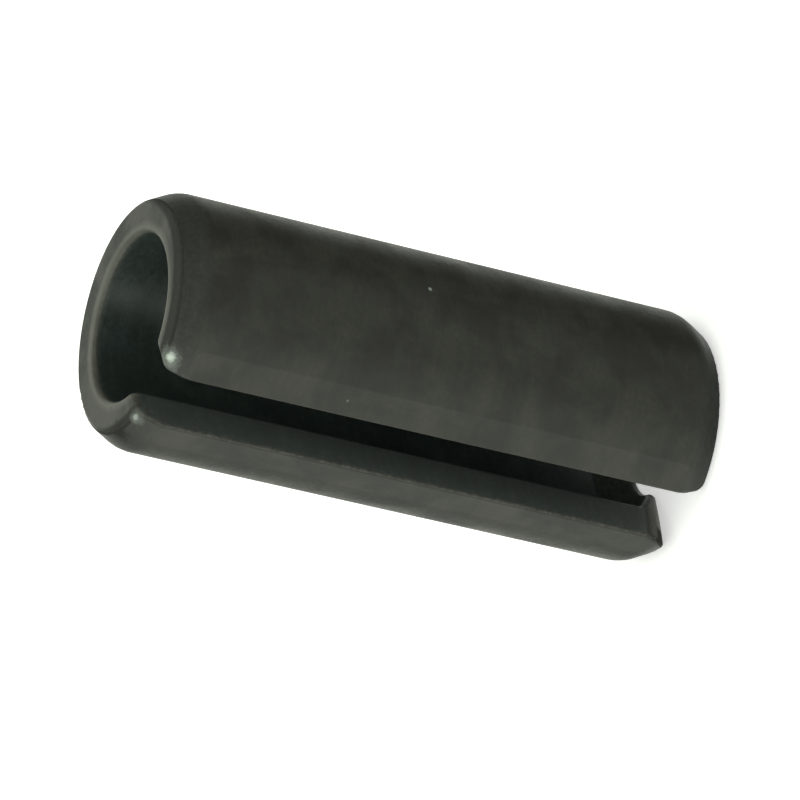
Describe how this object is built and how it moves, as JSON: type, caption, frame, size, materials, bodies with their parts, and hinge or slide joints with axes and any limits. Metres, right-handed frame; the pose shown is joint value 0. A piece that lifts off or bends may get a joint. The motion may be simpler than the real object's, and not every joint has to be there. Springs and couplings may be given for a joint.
{
  "type": "slotted spring pin",
  "caption": "Rolled spring steel tube with a lengthwise slot and tapered ends, driven into a drilled hole where it springs out and holds.",
  "frame": {"origin": "centre of the lower end face", "axes": "+Z along the pin, from the lower end to the upper end; the slot faces -Y"},
  "size_m": [0.0086, 0.0085, 0.02],
  "materials": {
    "spring_steel": "dark oiled finish of hardened spring steel"
  },
  "bodies": {
    "root": {"spring_pin": "spring_steel"}
  },
  "joints": []
}
